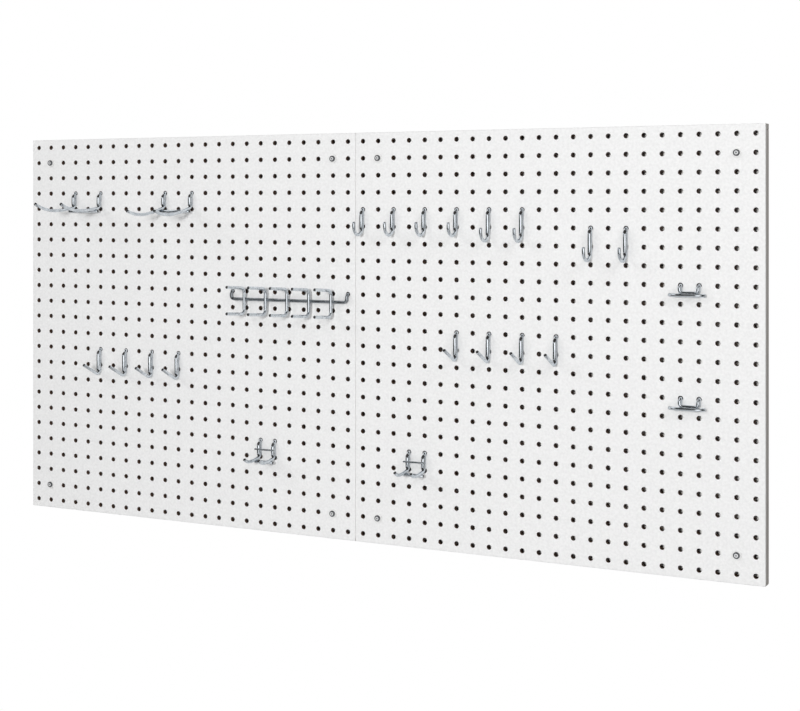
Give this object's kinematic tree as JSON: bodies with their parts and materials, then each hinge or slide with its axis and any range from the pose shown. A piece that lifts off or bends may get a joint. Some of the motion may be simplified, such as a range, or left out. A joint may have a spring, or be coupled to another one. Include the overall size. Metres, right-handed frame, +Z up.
{
  "type": "pegboard tool wall",
  "caption": "Wall-hung white pegboard in two square panels on a batten frame, with removable zinc wire hooks, double hooks, pliers holders and a pronged tool rack.",
  "frame": {"origin": "on the wall plane, on the vertical seam between the two panels, half-way up", "axes": "+X to the right seen from the front, +Y into the wall, +Z up; the face looks along -Y"},
  "size_m": [1.2192, 0.1335, 0.6096],
  "materials": {
    "panel_face": "white pebbled coating on hardboard, dark drilled edges",
    "batten": "off-white painted wood",
    "zinc_wire": "bright zinc plate",
    "screw": "plated steel",
    "bushing": "white moulded plastic",
    "spacer": "grey moulded plastic"
  },
  "bodies": {
    "board": {"left_panel": "panel_face", "right_panel": "panel_face", "top_batten": "batten", "bottom_batten": "batten", "left_batten": "batten", "right_batten": "batten", "seam_batten": "batten", "screw_1": "screw", "flanged_bushing_1": "bushing", "spacer_1": "spacer", "screw_2": "screw", "flanged_bushing_2": "bushing", "spacer_2": "spacer", "screw_3": "screw", "flanged_bushing_3": "bushing", "spacer_3": "spacer", "screw_4": "screw", "flanged_bushing_4": "bushing", "spacer_4": "spacer", "screw_5": "screw", "flanged_bushing_5": "bushing", "spacer_5": "spacer", "screw_6": "screw", "flanged_bushing_6": "bushing", "spacer_6": "spacer", "screw_7": "screw", "flanged_bushing_7": "bushing", "spacer_7": "spacer", "screw_8": "screw", "flanged_bushing_8": "bushing", "spacer_8": "spacer"},
    "large_double_hook_1": {"large_double_hook_1": "zinc_wire"},
    "large_double_hook_2": {"large_double_hook_2": "zinc_wire"},
    "small_double_hook_1": {"small_double_hook_1": "zinc_wire"},
    "small_double_hook_2": {"small_double_hook_2": "zinc_wire"},
    "j_hook_1": {"j_hook_1": "zinc_wire"},
    "j_hook_2": {"j_hook_2": "zinc_wire"},
    "j_hook_3": {"j_hook_3": "zinc_wire"},
    "j_hook_4": {"j_hook_4": "zinc_wire"},
    "j_hook_5": {"j_hook_5": "zinc_wire"},
    "j_hook_6": {"j_hook_6": "zinc_wire"},
    "j_hook_7": {"j_hook_7": "zinc_wire"},
    "j_hook_8": {"j_hook_8": "zinc_wire"},
    "angled_hook_1": {"angled_hook_1": "zinc_wire"},
    "angled_hook_2": {"angled_hook_2": "zinc_wire"},
    "angled_hook_3": {"angled_hook_3": "zinc_wire"},
    "angled_hook_4": {"angled_hook_4": "zinc_wire"},
    "angled_hook_5": {"angled_hook_5": "zinc_wire"},
    "angled_hook_6": {"angled_hook_6": "zinc_wire"},
    "angled_hook_7": {"angled_hook_7": "zinc_wire"},
    "angled_hook_8": {"angled_hook_8": "zinc_wire"},
    "pliers_holder_1": {"pliers_holder_1": "zinc_wire"},
    "pliers_holder_2": {"pliers_holder_2": "zinc_wire"},
    "tool_rack": {"tool_rack_rod": "zinc_wire", "tool_rack_prong_1": "zinc_wire", "tool_rack_prong_2": "zinc_wire", "tool_rack_prong_3": "zinc_wire", "tool_rack_prong_4": "zinc_wire", "tool_rack_prong_5": "zinc_wire"}
  },
  "joints": [
    {"name": "large_double_hook_1_tilt", "type": "hinge", "parent": "board", "child": "large_double_hook_1", "pos_m": [-0.5202, -0.01588, 0.2282], "axis": [-1, 0, 0], "range_deg": [0, 90]},
    {"name": "large_double_hook_2_tilt", "type": "hinge", "parent": "board", "child": "large_double_hook_2", "pos_m": [-0.3424, -0.01588, 0.2282], "axis": [-1, 0, 0], "range_deg": [0, 90]},
    {"name": "small_double_hook_1_tilt", "type": "hinge", "parent": "board", "child": "small_double_hook_1", "pos_m": [-0.1646, -0.01588, -0.1528], "axis": [-1, 0, 0], "range_deg": [0, 90]},
    {"name": "small_double_hook_2_tilt", "type": "hinge", "parent": "board", "child": "small_double_hook_2", "pos_m": [0.0894, -0.01588, -0.1528], "axis": [-1, 0, 0], "range_deg": [0, 90]},
    {"name": "j_hook_1_tilt", "type": "hinge", "parent": "board", "child": "j_hook_1", "pos_m": [0.0132, -0.01588, 0.2028], "axis": [-1, 0, 0], "range_deg": [0, 90]},
    {"name": "j_hook_2_tilt", "type": "hinge", "parent": "board", "child": "j_hook_2", "pos_m": [0.064, -0.01588, 0.2028], "axis": [-1, 0, 0], "range_deg": [0, 90]},
    {"name": "j_hook_3_tilt", "type": "hinge", "parent": "board", "child": "j_hook_3", "pos_m": [0.1148, -0.01588, 0.2028], "axis": [-1, 0, 0], "range_deg": [0, 90]},
    {"name": "j_hook_4_tilt", "type": "hinge", "parent": "board", "child": "j_hook_4", "pos_m": [0.1656, -0.01588, 0.2028], "axis": [-1, 0, 0], "range_deg": [0, 90]},
    {"name": "j_hook_5_tilt", "type": "hinge", "parent": "board", "child": "j_hook_5", "pos_m": [0.2164, -0.01588, 0.2028], "axis": [-1, 0, 0], "range_deg": [0, 90]},
    {"name": "j_hook_6_tilt", "type": "hinge", "parent": "board", "child": "j_hook_6", "pos_m": [0.2672, -0.01588, 0.2028], "axis": [-1, 0, 0], "range_deg": [0, 90]},
    {"name": "j_hook_7_tilt", "type": "hinge", "parent": "board", "child": "j_hook_7", "pos_m": [0.3688, -0.01588, 0.1774], "axis": [-1, 0, 0], "range_deg": [0, 90]},
    {"name": "j_hook_8_tilt", "type": "hinge", "parent": "board", "child": "j_hook_8", "pos_m": [0.4196, -0.01588, 0.1774], "axis": [-1, 0, 0], "range_deg": [0, 90]},
    {"name": "angled_hook_1_tilt", "type": "hinge", "parent": "board", "child": "angled_hook_1", "pos_m": [-0.4694, -0.01588, -0.0258], "axis": [-1, 0, 0], "range_deg": [0, 90]},
    {"name": "angled_hook_2_tilt", "type": "hinge", "parent": "board", "child": "angled_hook_2", "pos_m": [-0.4186, -0.01588, -0.0258], "axis": [-1, 0, 0], "range_deg": [0, 90]},
    {"name": "angled_hook_3_tilt", "type": "hinge", "parent": "board", "child": "angled_hook_3", "pos_m": [-0.3678, -0.01588, -0.0258], "axis": [-1, 0, 0], "range_deg": [0, 90]},
    {"name": "angled_hook_4_tilt", "type": "hinge", "parent": "board", "child": "angled_hook_4", "pos_m": [-0.317, -0.01588, -0.0258], "axis": [-1, 0, 0], "range_deg": [0, 90]},
    {"name": "angled_hook_5_tilt", "type": "hinge", "parent": "board", "child": "angled_hook_5", "pos_m": [0.1656, -0.01588, 0.025], "axis": [-1, 0, 0], "range_deg": [0, 90]},
    {"name": "angled_hook_6_tilt", "type": "hinge", "parent": "board", "child": "angled_hook_6", "pos_m": [0.2164, -0.01588, 0.025], "axis": [-1, 0, 0], "range_deg": [0, 90]},
    {"name": "angled_hook_7_tilt", "type": "hinge", "parent": "board", "child": "angled_hook_7", "pos_m": [0.2672, -0.01588, 0.025], "axis": [-1, 0, 0], "range_deg": [0, 90]},
    {"name": "angled_hook_8_tilt", "type": "hinge", "parent": "board", "child": "angled_hook_8", "pos_m": [0.318, -0.01588, 0.025], "axis": [-1, 0, 0], "range_deg": [0, 90]},
    {"name": "pliers_holder_1_tilt", "type": "hinge", "parent": "board", "child": "pliers_holder_1", "pos_m": [0.4958, -0.01588, 0.1012], "axis": [-1, 0, 0], "range_deg": [0, 90]},
    {"name": "pliers_holder_2_tilt", "type": "hinge", "parent": "board", "child": "pliers_holder_2", "pos_m": [0.4958, -0.01588, -0.0512], "axis": [-1, 0, 0], "range_deg": [0, 90]},
    {"name": "tool_rack_tilt", "type": "hinge", "parent": "board", "child": "tool_rack", "pos_m": [-0.2154, -0.01588, 0.0758], "axis": [-1, 0, 0], "range_deg": [0, 75]}
  ]
}
